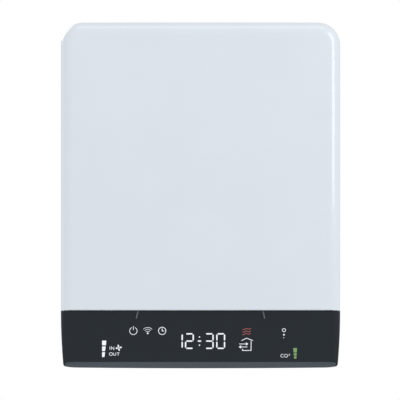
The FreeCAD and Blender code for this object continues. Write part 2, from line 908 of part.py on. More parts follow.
def make_cover():
    """White snap-off cover, with a cupped post inside it for each magnet."""
    solid = crowned_block("cover_outer", 0, 0)
    core = crowned_block("cover_inner", "skin", "skin")
    outer = soften_front(solid, "cover_edge", "cover_foot_edge")
    inner = soften_front(core, "cover_edge - skin", "cover_inner_edge")
    notch = block(
        RIBBON_WAY,
        (f"-{BAND_BACK} + ribbon_space", "-shell_depth"),
        (f"{BAND_TOP} - overrun", f"{BAND_TOP} + skin + overrun"),
    )
    shell = cut(outer, inner, notch)
    start = "(body_depth - skin - post_setback)"
    end = f"({CATCH_SEAT} + gap)"
    posts = []
    for x, z in CATCHES:
        post = rod("Y", (x, f"-{start}", z), "magnet_cup", f"{start} - {end}")
        floor = f"-{end} - magnet_height"
        cup = rod("Y", (x, floor, z), "magnet_radius + shaft_play", "magnet_height + overrun")
        posts.append(cut(post, cup))
    piece(fused(shell, *posts), "front_cover")


def make_catches():
    """Steel discs on the chassis towers, and the magnets in the cover that meet them."""
    seat = f"-{CATCH_SEAT}"
    discs = [rod("Y", (x, seat, z), "magnet_radius", "disc_height") for x, z in CATCHES]
    grouped("catch_discs", discs)
    start = f"{seat} - catch_play - magnet_height"
    magnets = [rod("Y", (x, start, z), "magnet_radius", "magnet_height") for x, z in CATCHES]
    grouped("cover_magnets", magnets)


# ---- fascia ------------------------------------------------------------------------------------------


def fascia_outline():
    """The dark band's outline: sides drawn in on a long arc, and a foot that rises to small corners."""
    foot = f"({HALF_WIDTH} - band_taper)"
    top = f"{BAND_TOP} - band_joint"
    low = f"{BOTTOM} + band_lift"
    return [
        (f"-{HALF_WIDTH}", top, "band_side_arc"),
        (f"-{foot}", f"{low} + band_corner", "band_corner"),
        (f"-{foot} + cant_inset", f"{low} + cant_rise", "cant_radius"),
        (f"-{foot} + cant_run", low, "band_foot_arc"),
        (f"{foot} - cant_run", low, "cant_radius"),
        (f"{foot} - cant_inset", f"{low} + cant_rise", "band_corner"),
        (foot, f"{low} + band_corner", "band_side_arc"),
        (HALF_WIDTH, top),
    ]


def fascia_plan():
    """The dark band's form seen from above: a bowed front with rounded ends, wider than the band."""
    plan = form_body("fascia_plan")
    drawing = drawing_on(plan, "XY_Plane", BOTTOM)
    side = f"({HALF_WIDTH} + gap)"
    end = f"({side} - band_edge)"
    brow = f"-{BAND_FRONT} + band_bow"
    outline(drawing, [
        (f"-{side}", f"{brow} + band_edge", "band_edge"),
        (f"-{end}", brow, "crown_radius"),
        (end, brow, "band_edge"),
        (side, f"{brow} + band_edge"),
        (side, 0),
        (f"-{side}", 0),
    ])
    pad(plan, drawing, "band_height")
    return plan


def make_fascia():
    """Dark gloss fascia below the cover, hollow at the back, with a slate trim along its bevelled foot."""
    face = plate_form("fascia_face", fascia_outline(), "shell_depth", "body_depth")
    form = shared_by(face, fascia_plan())
    crest = f"{BOTTOM} + bevel_height + bevel_rise"
    ahead = f"-{BAND_FRONT} - bevel_reach"
    bevel = bar_along_x("fascia_bevel", f"-{HALF_WIDTH} - overrun", "body_width + 2*overrun", [
        (ahead, crest),
        (ahead, BOTTOM),
        (f"-{BAND_FRONT} + bevel_height", BOTTOM),
        (f"-{BAND_FRONT} + gap", crest),
    ])
    strip = bar_along_x("fascia_strip", f"-{HALF_WIDTH} + trim_end", "body_width - 2*trim_end", [
        (ahead, crest),
        (ahead, f"{BOTTOM} - overrun"),
        (f"-{BAND_FRONT} + bevel_height + bevel_reach + gap", f"{BOTTOM} - overrun"),
        (f"-{BAND_FRONT} + bevel_reach", crest),
    ])
    piece(shared_by(cut(form, bevel), strip), "fascia_trim")
    half = f"({HALF_WIDTH} - band_taper - band_side_wall)"
    back = "-shell_depth + overrun"
    ceiling = f"{BAND_TOP} - band_side_wall"
    hollow = block((f"-{half}", half), (f"-{BAND_BACK}", back), (f"{BOTTOM} + sill", ceiling))
    trough = block(
        (f"-{half} + trough_inset", f"{half} - trough_inset"),
        (f"-{BAND_FRONT} + trough_set", back),
        (f"{BOTTOM} + trough_floor", f"{BOTTOM} + sill + overrun"),
    )
    notch = block(RIBBON_WAY, (f"-{BAND_BACK} + ribbon_space", back), (f"{ceiling} - overrun", BAND_TOP))
    piece(cut(form, bevel, strip, hollow, trough, notch), "display_fascia")


def make_cover_guides():
    """Two short slanted ribs on the fascia, under the cover's lower edge, that guide the cover home."""
    ribs = []
    high = f"{BAND_TOP} - guide_drop"
    low = f"{high} - guide_length"
    for side in (-1, 1):
        rib = form_body("guide_rib")
        drawing = drawing_on(rib, "XZ_Plane", f"{BAND_FRONT} - guide_seat")
        head = f"{side}*guide_side"
        foot = f"{side}*(guide_side + guide_slant)"
        outline(drawing, [
            (f"{foot} - guide_width/2", low),
            (f"{foot} + guide_width/2", low),
            (f"{head} + guide_width/2", high),
            (f"{head} - guide_width/2", high),
        ])
        pad(rib, drawing, "guide_height")
        ribs.append(rib)
    grouped("cover_guides", ribs)


# ---- display behind the fascia -----------------------------------------------------------------------


def make_display():
    """Display board with its four-digit module, icon light guides and touch springs behind the fascia."""
    reach = (f"{BOTTOM} + display_foot", f"{BAND_TOP} - display_head")
    corners = box_corners("-display_side", "display_side", *reach)
    board = plate("display_board", corners, DISPLAY_BACK, DISPLAY_FACE)
    places = [(side, "-display_screw_level") for side in ("-display_screw_side", "display_screw_side")]
    front_holes(board, "display_screw_radius", DISPLAY_BACK, DISPLAY_FACE, *places)
    plate("digit_module", box_corners(*DIGIT_MODULE), DISPLAY_FACE, f"{BAND_BACK} - lens_gap")
    guides = []
    for left, right, low, high in LIGHT_GUIDES:
        guides.append(block((left, right), (f"-{BAND_BACK} + lens_gap", f"-{DISPLAY_FACE}"), (low, high)))
    grouped("icon_light_guides", guides)
    springs = []
    start = f"-{BAND_BACK} + lens_gap"
    for x in TOUCH_KEYS:
        spring = rod("Y", (x, start, "-spring_level"), "spring_radius", "spring_length")
        bore = rod("Y", (x, f"{start} + spring_cap", "-spring_level"), "spring_bore", "spring_length")
        springs.append(cut(spring, bore))
    grouped("touch_springs", springs)


def make_ribbon():
    """Flat ribbon cable from the display board up to the control board, bent over the board's edge."""
    back = f"(-{DISPLAY_BACK} + screw_play)"
    front = f"({back} + ribbon_thickness)"
    socket = f"(-{BOARD_FACE} - ribbon_lead)"
    ribbon = bar_along_x("ribbon_form", "ribbon_left", "ribbon_width", [
        (back, "-ribbon_foot"),
        (front, "-ribbon_foot"),
        (front, "-ribbon_bend"),
        (socket, "-ribbon_landing"),
        (socket, "-ribbon_head"),
        (f"{socket} - ribbon_thickness", "-ribbon_head"),
        (f"{socket} - ribbon_thickness", "-ribbon_landing - ribbon_skew"),
        (back, "-ribbon_bend - ribbon_skew"),
    ])
    piece(ribbon, "display_ribbon")


# ---- air duct, plenum, filter and vanes --------------------------------------------------------------


def shaft_bore(depth, level):
    """A bore across the whole unit for a vane's shaft."""
    return rod("X", (f"-{HALF_WIDTH}", f"-{depth}", level), "shaft_radius + shaft_play", "body_width")


def make_air_duct():
    """Open box behind the chassis that turns the supply air up to the outlet, with a nozzle to the fan."""
    outer = block(
        ("-duct_width/2 - duct_wall", "duct_width/2 + duct_wall"),
        ("-shell_depth + plate_thickness", "-duct_back"),
        ("-duct_foot - duct_wall", f"{INNER_TOP} - screw_play"),
    )
    inner = block(
        ("-duct_width/2", "duct_width/2"),
        ("-shell_depth", "-duct_back - duct_wall"),
        ("-duct_foot", "top_reach"),
    )
    mouth_start = "-duct_back - duct_wall - overrun"
    mouth = rod("Y", (0, mouth_start, 0), "ring_radius", "duct_back + duct_wall + 2*overrun")
    nozzle = rod("Y", (0, "-duct_back", 0), "ring_radius + ring_wall", "duct_back - gap")
    bore = shaft_bore("supply_vane_depth", "supply_vane_level")
    piece(cut(fused(cut(outer, inner), nozzle), mouth, bore), "air_duct")


def make_heater():
    """Small electric heater in the nozzle: a ring frame with resistance bars across it."""
    start = "(-duct_back + heater_set)"
    piece(ring(start, "ring_radius - liner_play", LINER_BORE, "heater_length"), "heater_frame")
    bars = []
    for step in range(-HEATER_BARS, HEATER_BARS + 1):
        middle = f"{step}*heater_pitch"
        reach = f"(sqrt({LINER_BORE}^2 - ({abs(step)}*heater_pitch + heater_bar/2)^2) - bar_play)"
        thick = (f"{middle} - heater_bar/2", f"{middle} + heater_bar/2")
        depth = (f"{start} + heater_rim", f"{start} + heater_length - heater_rim")
        bars.append(block(thick, depth, (f"-{reach}", reach)))
    grouped("heater_bars", bars)


def make_plenum():
    """Intake channel above the bottom grille that holds the filter cassette and the extract vane."""
    foot = "(top_reach - body_height + inset + skin)"
    depth = ("-grille_front + duct_wall", "-grille_back - duct_wall")
    outer = block(
        (f"-{INTAKE_HALF}", INTAKE_HALF),
        ("-grille_front", "-grille_back"),
        (foot, "-plenum_top"),
    )
    inner = block(
        (f"-{INTAKE_HALF} + duct_wall", f"{INTAKE_HALF} - duct_wall"),
        depth,
        (f"{foot} - overrun", "-plenum_top + overrun"),
    )
    slot_height = ("-filter_level - filter_slot/2", "-filter_level + filter_slot/2")
    slot = block((0, f"{INTAKE_HALF} + overrun"), depth, slot_height)
    bore = shaft_bore("extract_vane_depth", "-extract_vane_level")
    piece(cut(outer, inner, slot, bore), "intake_plenum")


def make_filter():
    """Filter cassette that slides out of the right side: an open frame, an end cap and a pleated mat."""
    front = "(-grille_front + duct_wall + filter_play)"
    back = "(-grille_back - duct_wall - filter_play)"
    end = "(body_width/2 - inset)"
    start = "(-plenum_width/2 + duct_wall + filter_start)"
    low = "(-filter_level - filter_height/2)"
    high = "(-filter_level + filter_height/2)"
    tray = block((start, f"{end} - skin"), (front, back), (low, high))
    window = block(
        (f"{start} + tray_end", f"{end} - skin - tray_end"),
        (f"{front} + tray_side", f"{back} - tray_side"),
        (f"{low} - overrun", f"{high} + overrun"),
    )
    cap_half = "(filter_slot/2 + grille_play)"
    cap = block(
        (f"{end} - skin", end),
        ("-grille_front + liner_play", "-grille_back - liner_play"),
        (f"-filter_level - {cap_half}", f"-filter_level + {cap_half}"),
    )
    grip = block(
        (end, f"{end} + pull_proud"),
        ("-pull_front", "-pull_back"),
        ("-filter_level - pull_half", "-filter_level + pull_half"),
    )
    piece(fused(cut(tray, window), cap, grip), "filter_cassette")
    piece(pleated_mat(start, f"{end} - skin", (front, back), low), "filter_mat")


def pleated_mat(start, end, depth, low):
    """A zigzag sheet that fills the cassette's window from side to side."""
    pitch = number("pleat_pitch")
    thickness = number("mat_thickness")
    margin = number("tray_end + liner_play")
    left = number(start) + margin
    pleats = int((number(end) - margin - left) / pitch)
    rise = number("filter_height") - 2 * thickness
    base = number(low) + thickness / 2
    lower_side = []
    for i in range(2 * pleats + 1):
        lower_side.append(Vector(left + i * pitch / 2, 0, base + (i % 2) * rise))
    upper_side = [point + Vector(0, 0, thickness) for point in reversed(lower_side)]
    loop = lower_side + upper_side
    face = Part.Face(Part.makePolygon(loop + [loop[0]]))
    near, far = number(depth[0]), number(depth[1])
    margin = number("tray_side + liner_play")
    mat = doc.addObject("Part::Feature", "filter_mat_shape")
    mat.Shape = face.extrude(Vector(0, far - near - 2 * margin, 0))
    mat.Placement = Placement(Vector(0, near + margin, 0), Rotation())
    return mat


def make_vane(label, half_length, depth, level, chord, side):
    """A balanced shut-off vane, edge-on to the air. One end of its shaft reaches into its actuator."""
    reach = f"({half_length})"
    low, high = f"{level} - {chord}/2", f"{level} + {chord}/2"
    blade = bar_along_x(label + "_form", f"-{reach}", f"2*{reach}", [
        (f"-{depth} - vane_edge/2", low),
        (f"-{depth} + vane_edge/2", low),
        (f"-{depth} + vane_thickness/2", f"{level} - vane_swell"),
        (f"-{depth} + vane_thickness/2", f"{level} + vane_swell"),
        (f"-{depth} + vane_edge/2", high),
        (f"-{depth} - vane_edge/2", high),
        (f"-{depth} - vane_thickness/2", f"{level} + vane_swell"),
        (f"-{depth} - vane_thickness/2", f"{level} - vane_swell"),
    ])
    left_end = "shaft_stub" if side > 0 else "shaft_drive"
    shaft = drawing_on(blade, "YZ_Plane", f"-{reach} - {left_end}")
    circles(shaft, "shaft_radius", (f"-{depth}", level))
    pad(blade, shaft, f"2*{reach} + shaft_stub + shaft_drive")
    piece(blade, label)


def make_actuator(label, start, depth, level, side):
    """Small geared stepping motor that turns a vane: a can with two ears and a socket for the shaft."""
    base = start if side > 0 else f"({start}) - can_length"
    ear_base = start if side > 0 else f"({start}) - ear_thickness"
    mouth = f"({start}) - overrun" if side > 0 else f"({start}) - socket_depth"
    can = rod("X", (base, f"-{depth}", level), "can_radius", "can_length")
    ears = block(
        (ear_base, f"({ear_base}) + ear_thickness"),
        (f"-{depth} - ear_half", f"-{depth} + ear_half"),
        (f"{level} - ear_reach", f"{level} + ear_reach"),
    )
    socket = rod("X", (mouth, f"-{depth}", level), "shaft_radius + shaft_play", "socket_depth + overrun")
    piece(cut(fused(can, ears), socket), label)


# ---- tube, fans and exchanger ------------------------------------------------------------------------


def make_tube():
    """Wall tube and the flanged adapter that ties it to the wall plate."""
    turned("wall_tube", box_corners(TUBE_BORE, "tube_radius", 0, TUBE_LAST))
    throat = f"({TUBE_BORE} - adapter_wall)"
    adapter = turned("tube_adapter", [
        (throat, "-2*plate_thickness"),
        ("flange_radius", "-2*plate_thickness"),
        ("flange_radius", "-plate_thickness"),
        ("tube_radius - neck_play", "-plate_thickness"),
        ("tube_radius - neck_play", 0),
        (TUBE_BORE, 0),
        (TUBE_BORE, "sleeve_length"),
        (throat, "sleeve_length"),
    ])
    thread = "screw_shank + screw_play"
    front_holes(adapter, thread, "plate_thickness", "2*plate_thickness", *FLANGE_SCREWS)
    screws("flange_screws", FLANGE_SCREWS, "2*plate_thickness", "2*plate_thickness - lens_gap")


class FanPlace:
    """Turns a distance from a fan's outer end into a Y formula: way is 1 indoors and -1 outdoors."""

    def __init__(self, end, way):
        self.end = end
        self.way = way

    def at(self, distance):
        return f"({self.end}) + {self.way}*({distance})"

    def span(self, near, far):
        """Two distances as a (low, high) pair along Y."""
        pair = (self.at(near), self.at(far))
        return pair if self.way > 0 else (pair[1], pair[0])


def make_fan_frame(name, place):
    """Ring round the blades, a motor plate on three arms and four stays out to the tube."""
    frame = turned(f"{name}_fan_frame", box_corners(
        "ring_radius", "ring_radius + ring_wall", *place.span("fan_setback", "fan_length"),
    ))
    motor_plate = drawing_on(frame, "XY_Plane")
    thick = place.span("stator_end", "plate_end")
    outline(motor_plate, box_corners("bearing_radius", "motor_radius + motor_rim", *thick))
    revolve(frame, motor_plate)
    arm = drawing_on(frame, "YZ_Plane", "motor_radius")
    outline(arm, box_corners(*place.span("stator_end", "arm_end"), "-arm_half", "arm_half"))
    polar_pattern(frame, pad(frame, arm, "ring_radius - motor_radius + ring_wall/2"), FAN_ARMS)
    stay = drawing_on(frame, "YZ_Plane", "ring_radius + ring_wall/2")
    outline(stay, box_corners(*place.span("stay_start", "stay_end"), "-stay_half", "stay_half"))
    reach = f"{TUBE_BORE} - adapter_wall" if place.way > 0 else TUBE_BORE
    length = f"{reach} - ring_radius - ring_wall/2 - head_play"
    polar_pattern(frame, pad(frame, stay, length), FAN_STAYS)


def make_impeller(name, place):
    """Cup-shaped hub over the stator, with lofted blades."""
    at = place.at
    impeller = turned(f"{name}_impeller", [
        (0, at("hub_face")),
        ("hub_radius - hub_taper", at("hub_face")),
        ("hub_radius", at("hub_face + hub_taper")),
        ("hub_radius", at("hub_end")),
        ("hub_radius - hub_wall", at("hub_end")),
        ("hub_radius - hub_wall", at("hub_face + hub_web")),
        (0, at("hub_face + hub_web")),
    ])
    sections = []
    for offset, run, spread in BLADE_SECTIONS:
        section = drawing_on(impeller, "YZ_Plane", offset)
        leading = f"blade_middle - {run}/2"
        trailing = f"blade_middle + {run}/2"
        outline(section, [
            (at(leading), f"-{spread}/2"),
            (at("blade_middle + blade_camber"), f"-{spread}*{OUTER_BEND}"),
            (at(trailing), f"{spread}/2"),
            (at(f"{trailing} - blade_thickness"), f"{spread}/2 + blade_lean"),
            (at("blade_middle + blade_hollow"), f"{spread}*{INNER_BEND} + blade_lean"),
            (at(f"{leading} - blade_thickness"), f"-{spread}/2 + blade_lean"),
        ])
        sections.append(section)
    blade = impeller.newObject("PartDesign::AdditiveLoft", "Blade")
    blade.Profile = sections[0]
    blade.Sections = sections[1:]
    doc.recompute()
    polar_pattern(impeller, blade, FAN_BLADES)


def make_fan(name, place):
    """One axial fan: frame, stator, shaft and impeller. Returns its two bearings."""
    make_fan_frame(name, place)
    stator = place.span("stator_start", "stator_end")
    turned(f"{name}_stator", box_corners("bearing_radius", "motor_radius", *stator))
    bearings = []
    for near in ("stator_start + bearing_set", "stator_end - bearing_length - bearing_set"):
        low = place.span(near, f"{near} + bearing_length")[0]
        bearings.append(ring(low, "bearing_radius", "shaft_radius + shaft_play", "bearing_length"))
    shaft_start = place.span("hub_face + hub_web", "shaft_end")[0]
    piece(rod("Y", (0, shaft_start, 0), "shaft_radius", "shaft_end - hub_face - hub_web"), f"{name}_shaft")
    make_impeller(name, place)
    return bearings


def make_fans():
    """The supply fan indoors and the extract fan outdoors."""
    bearings = make_fan("supply", FanPlace("0", 1)) + make_fan("extract", FanPlace(OUTDOOR_FAN, -1))
    grouped("fan_bearings", bearings)


def make_exchanger():
    """Round counter-flow exchanger: parallel sheets between slotted end plates, in a shell with seals."""
    shell = ring("core_start", "core_radius + core_shell", "core_radius", "core_length")
    piece(shell, "exchanger_shell")
    seals = []
    for start in ("core_start + seal_inset", f"{CORE_LAST} - seal_inset - seal_length"):
        seals.append(ring(start, TUBE_BORE, "core_radius + core_shell", "seal_length"))
    grouped("exchanger_seals", seals)
    sheets = []
    for step in range(-SHEETS, SHEETS + 1):
        middle = f"{step}*sheet_pitch"
        reach = f"sqrt((core_radius - sheet_play)^2 - ({middle})^2)"
        sheets.append(block(
            (f"{middle} - sheet_thickness/2", f"{middle} + sheet_thickness/2"),
            ("core_start + core_end", f"{CORE_LAST} - core_end"),
            (f"-{reach}", reach),
        ))
    grouped("exchanger_sheets", sheets)
    grouped("exchanger_end_plates", [end_plate("core_start", 0), end_plate(f"{CORE_LAST} - core_end", 1)])


def end_plate(start, parity):
    """A disc that opens each gap between sheets either at its middle or at its two ends, turn about."""
    disc = rod("Y", (0, start, 0), "core_radius - screw_play", "core_end")
    deep = (f"({start}) - overrun", f"({start}) + core_end + overrun")
    slots = []
    for step in range(-SHEETS, SHEETS):
        middle = f"({step} + 0.5)*sheet_pitch"
        across = (f"{middle} - slot_half", f"{middle} + slot_half")
        centre = number(middle)
        if step % 2 == parity:
            if abs(centre) < number("ring_radius - slot_margin"):
                reach = f"sqrt((ring_radius - ring_wall)^2 - ({middle})^2)"
                slots.append(block(across, deep, (f"-{reach}", reach)))
        else:
            land = number("ring_radius + ring_wall + slot_land")
            near = math.sqrt(max(0.0, land**2 - centre**2)) + number("gap")
            far = f"sqrt((core_radius - slot_edge)^2 - ({middle})^2)"
            if number(far) > near + number("slot_shortest"):
                slots.append(block(across, deep, (near, far)))
                slots.append(block(across, deep, (f"-{far}", -near)))
    return cut(disc, *slots)


def make_outdoor_head():
    """Slotted head outdoors: fresh air comes in round its side and stale air leaves through its end."""
    spigot = f"({TUBE_BORE} - head_play)"
    shoulder = f"{TUBE_LAST} + head_play"
    throat_start = f"{OUTDOOR_FAN} + throat_gap"
    head = turned("outdoor_head", [
        (f"{spigot} - head_wall", f"{TUBE_LAST} - head_spigot"),
        (spigot, f"{TUBE_LAST} - head_spigot"),
        (spigot, shoulder),
        ("tube_radius - head_step", shoulder),
        ("tube_radius - head_step", f"{HEAD_LAST} - head_edge"),
        ("tube_radius - head_step - head_edge", HEAD_LAST),
        ("ring_radius", HEAD_LAST),
        ("ring_radius", throat_start),
        ("ring_radius + ring_wall", throat_start),
        ("ring_radius + ring_wall", f"{HEAD_LAST} - head_wall"),
        (f"{spigot} - head_wall", f"{HEAD_LAST} - head_wall"),
    ])
    window = drawing_on(head, "YZ_Plane", "tube_radius + overrun")
    run = (f"{TUBE_LAST} + louvre_margin", f"{HEAD_LAST} - louvre_margin")
    outline(window, box_corners(*run, "-louvre_half", "louvre_half"))
    first = pocket(head, window, "tube_wall + louvre_margin")
    polar_pattern(head, first, LOUVRES)
    foam_start = f"{TUBE_LAST} - foam_set"
    foam_bore = "ring_radius + ring_wall + liner_play"
    piece(ring(foam_start, f"{TUBE_BORE} - liner_play", foam_bore, "foam_length"), "fresh_air_filter")


def make_exhaust_grille():
    """Round grille in the end of the outdoor head: a rim with level bars across it."""
    start = f"({HEAD_LAST} - exhaust_set)"
    bars = []
    for step in range(-EXHAUST_BARS, EXHAUST_BARS + 1):
        middle = f"{step}*exhaust_pitch"
        reach = f"(sqrt({LINER_BORE}^2 - ({abs(step)}*exhaust_pitch + exhaust_bar/2)^2) - bar_play)"
        thick = (f"{middle} - exhaust_bar/2", f"{middle} + exhaust_bar/2")
        bars.append(block((f"-{reach}", reach), (start, f"{start} + exhaust_depth"), thick))
    rim = ring(start, "ring_radius - liner_play", LINER_BORE, "exhaust_depth")
    grouped("exhaust_grille", [rim, *bars])


# ---- boards and their components ---------------------------------------------------------------------


def on_board(left, right, low, high, height):
    """A block that stands on the control board's front face."""
    return block((left, right), (f"-{BOARD_FACE} - {height}", f"-{BOARD_FACE}"), (low, high))


def make_control_board():
    """Control board on the chassis with its chips, and the screws that hold it."""
    board = plate_form("bare_board", box_corners(*CONTROL_BOARD), BOARD_BACK, BOARD_FACE)
    front_holes(board, "screw_shank + screw_play", BOARD_BACK, BOARD_FACE, *BOARD_SCREWS)
    chips = [on_board(*chip) for chip in CHIPS]
    piece(fused(board, *chips), "control_board")
    length = "board_stand + board_thickness - board_screw_stop"
    screws("board_screws", BOARD_SCREWS, BOARD_FACE, length)


def make_power_parts():
    """Power module, relays, capacitors and buzzer on the control board."""
    piece(on_board(*POWER_MODULE), "power_module")
    grouped("relays", [on_board(*relay) for relay in RELAYS])
    cans = []
    for x, z, radius, height in CAPACITORS:
        cans.append(rod("Y", (x, f"-{BOARD_FACE} - {height}", z), radius, height))
    grouped("capacitors", cans)
    x, z, radius, height = BUZZER
    bore, depth = SOUND_HOLE
    case = rod("Y", (x, f"-{BOARD_FACE} - {height}", z), radius, height)
    hole = rod("Y", (x, f"-{BOARD_FACE} - {height} - overrun", z), bore, f"{depth} + overrun")
    piece(cut(case, hole), "buzzer")


def make_terminal_block():
    """Mains terminals: a housing with a screw well and a wire entry for each pole."""
    first, level = FIRST_TERMINAL
    tools = []
    heads = []
    for step in range(TERMINALS):
        x = first + step * TERMINAL_PITCH
        for half, below, above, front, floor in (SCREW_WELL, WIRE_ENTRY):
            depth = (f"-{BOARD_FACE} - {front}", f"-{BOARD_FACE} - {floor}")
            tools.append(block((x - half, x + half), depth, (level - below, level + above)))
        heads.append(rod("Y", (x, f"-{BOARD_FACE} - {TERMINAL_SCREW_TOP}", level), *TERMINAL_SCREW))
    grouped("terminal_block", [cut(on_board(*TERMINAL_HOUSING), *tools), *heads])


def make_plug_sockets():
    """Open plug sockets for the fans, vanes and sensors, and the ribbon cable's socket."""
    sockets = []
    for left, right, low, high, height in SOCKETS:
        well = block(
            (left + SOCKET_WALL, right - SOCKET_WALL),
            (f"-{BOARD_FACE} - {height} - overrun", f"-{BOARD_FACE} - {SOCKET_FLOOR}"),
            (low + SOCKET_WALL, high - SOCKET_WALL),
        )
        sockets.append(cut(on_board(left, right, low, high, height), well))
    grouped("plug_sockets", [*sockets, on_board(*RIBBON_SOCKET)])


def make_fuse():
    """Glass fuse between two clips."""
    height, level = FUSE_AXIS
    rods = []
    for left, radius, length in (FUSE_GLASS, *FUSE_CAPS):
        rods.append(rod("X", (left, f"-{BOARD_FACE} - {height}", level), radius, length))
    clips = [on_board(*clip) for clip in FUSE_CLIPS]
    piece(fused(*rods, *clips), "fuse")


def make_sensors():
    """Carbon dioxide sensor in its tray, and the humidity sensor's small board opposite."""
    left, right, low, high = SENSOR_TRAY
    can = block(
        (f"{left} + tray_wall + screw_play", f"{right} - tray_wall - screw_play"),
        (f"-shell_depth - {SENSOR_HEIGHT}", "-shell_depth - tray_floor"),
        (f"{low} + tray_wall + screw_play", f"{high} - tray_wall - screw_play"),
    )
    level, radius, depth = SENSOR_PORT
    mouth = ((left + right) / 2, f"-shell_depth - {SENSOR_HEIGHT} - overrun", level)
    piece(cut(can, rod("Y", mouth, radius, f"{depth} + overrun")), "co2_sensor")
    left, right, low, high = HUMIDITY_BOARD
    back = f"-shell_depth - {HUMIDITY_FOOT}"
    face = f"-shell_depth - {HUMIDITY_FACE}"
    board = block((left, right), (face, back), (low, high))
    side, start, end = HUMIDITY_CELL
    depth = (f"{face} - {HUMIDITY_FOOT}", face)
    cell = block((left + side, right - side), depth, (low + start, low + end))
    edge = HUMIDITY_FOOT
    foot = block((left + edge, right - edge), (back, "-shell_depth"), (low + edge, high - edge))
    piece(fused(board, cell, foot), "humidity_sensor")


# ---- assembly ----------------------------------------------------------------------------------------


def check_and_export():
    """Stops at any failed or empty shape, then writes one file for each sub-part."""
    doc.recompute()
    failed = [o.Label for o in doc.Objects if {"Invalid", "Error"} & set(o.State)]
    if failed:
        raise RuntimeError(f"failed objects: {failed}")
    os.makedirs("parts", exist_ok=True)
    for old in os.listdir("parts"):
        os.remove(os.path.join("parts", old))
    for target in PIECES:
        shape = target.Shape
        if shape.isNull() or not shape.isValid() or not shape.Solids:
            raise RuntimeError(f"{target.Label}: the shape is not a valid solid")
        shape.exportStep(os.path.join("parts", target.Label + ".step"))
        print(f"{target.Label:24s} {len(shape.Solids):3d} solids {shape.Volume / 1000:9.2f} cm3")


def main():
    make_wall_plate()
    make_chassis_posts()
    make_cable_grommet()
    make_rear_housing()
    make_grille("supply_grille", OUTLET_HALF, "(top_reach - inset - skin)")
    make_grille("intake_grille", INTAKE_HALF, "(top_reach - body_height + inset)")
    make_chassis()
    screws("chassis_screws", CHASSIS_SCREWS, "shell_depth", "chassis_screw_length")
    make_cover()
    make_catches()
    make_fascia()
    make_cover_guides()
    make_display()
    make_ribbon()
    make_air_duct()
    make_heater()
    make_plenum()
    make_filter()
    supply = ("supply_vane_depth", "supply_vane_level")
    extract = ("extract_vane_depth", "-extract_vane_level")
    make_vane("supply_vane", "duct_width/2 - vane_play", *supply, "supply_vane_chord", 1)
    half = f"{INTAKE_HALF} - duct_wall - vane_play"
    make_vane("extract_vane", half, *extract, "extract_vane_chord", -1)
    make_actuator("supply_actuator", "duct_width/2 + duct_wall", *supply, 1)
    make_actuator("extract_actuator", f"-{INTAKE_HALF}", *extract, -1)
    make_tube()
    make_fans()
    make_exchanger()
    make_outdoor_head()
    make_exhaust_grille()
    make_control_board()
    make_power_parts()
    make_terminal_block()
    make_plug_sockets()
    grouped("radio_module", [on_board(*part) for part in RADIO_PARTS])
    make_fuse()
    make_sensors()
    check_and_export()


main()
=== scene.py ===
import json
import math

import bpy
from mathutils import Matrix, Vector


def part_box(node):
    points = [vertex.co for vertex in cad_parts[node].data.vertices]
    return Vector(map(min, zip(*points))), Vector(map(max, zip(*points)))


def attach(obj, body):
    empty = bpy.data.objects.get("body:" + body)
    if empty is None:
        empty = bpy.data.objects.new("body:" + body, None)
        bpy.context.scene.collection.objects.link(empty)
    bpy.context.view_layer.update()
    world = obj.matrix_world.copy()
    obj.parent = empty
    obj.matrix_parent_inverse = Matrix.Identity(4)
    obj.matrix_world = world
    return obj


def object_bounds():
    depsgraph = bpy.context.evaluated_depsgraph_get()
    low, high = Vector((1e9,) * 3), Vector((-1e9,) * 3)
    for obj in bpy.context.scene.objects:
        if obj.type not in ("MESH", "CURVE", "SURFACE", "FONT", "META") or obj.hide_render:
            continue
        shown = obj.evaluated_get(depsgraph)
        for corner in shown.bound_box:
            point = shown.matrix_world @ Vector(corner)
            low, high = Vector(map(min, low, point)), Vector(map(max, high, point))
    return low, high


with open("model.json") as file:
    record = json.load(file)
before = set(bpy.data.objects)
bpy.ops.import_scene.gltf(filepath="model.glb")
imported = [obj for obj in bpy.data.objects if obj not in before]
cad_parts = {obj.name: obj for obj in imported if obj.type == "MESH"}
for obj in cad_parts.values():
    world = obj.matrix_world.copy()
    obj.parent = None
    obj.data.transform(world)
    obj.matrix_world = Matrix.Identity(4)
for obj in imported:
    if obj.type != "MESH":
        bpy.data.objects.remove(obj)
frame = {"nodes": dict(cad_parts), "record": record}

# The unit seen from the room. Lengths are in metres, and MM turns millimetres into them.
# The room is at negative Y, the wall tube runs along positive Y, and Z is up.

MM = 0.001
CAD_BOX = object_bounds()

FASCIA_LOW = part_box("display_fascia")[0]
COVER_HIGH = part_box("front_cover")[1]
BOW_RADIUS = 3000 * MM


# ---- materials ---------------------------------------------------------------------------------------


# Noise scales, in waves for each metre: broad shade, wear of the gloss.
SHADE_SCALE = 18.0
WEAR_SCALE = 60.0
RELIEF_DEPTH = 0.1 * MM


def ramp_between(nodes, links, noise, low, high):
    """A colour that drifts between two shades with a noise texture."""
    ramp = nodes.new("ShaderNodeValToRGB")
    ends = ramp.color_ramp.elements
    ends[0].position = 0.35
    ends[0].color = (*low, 1)
    ends[1].position = 0.65
    ends[1].color = (*high, 1)
    links.new(noise.outputs["Fac"], ramp.inputs["Fac"])
    return ramp.outputs["Color"]


def noise_at(nodes, links, place, scale, detail=3.0):
    """A noise texture that is fixed to the piece it is on."""
    noise = nodes.new("ShaderNodeTexNoise")
    noise.inputs["Scale"].default_value = scale
    noise.inputs["Detail"].default_value = detail
    links.new(place.outputs["Object"], noise.inputs["Vector"])
    return noise


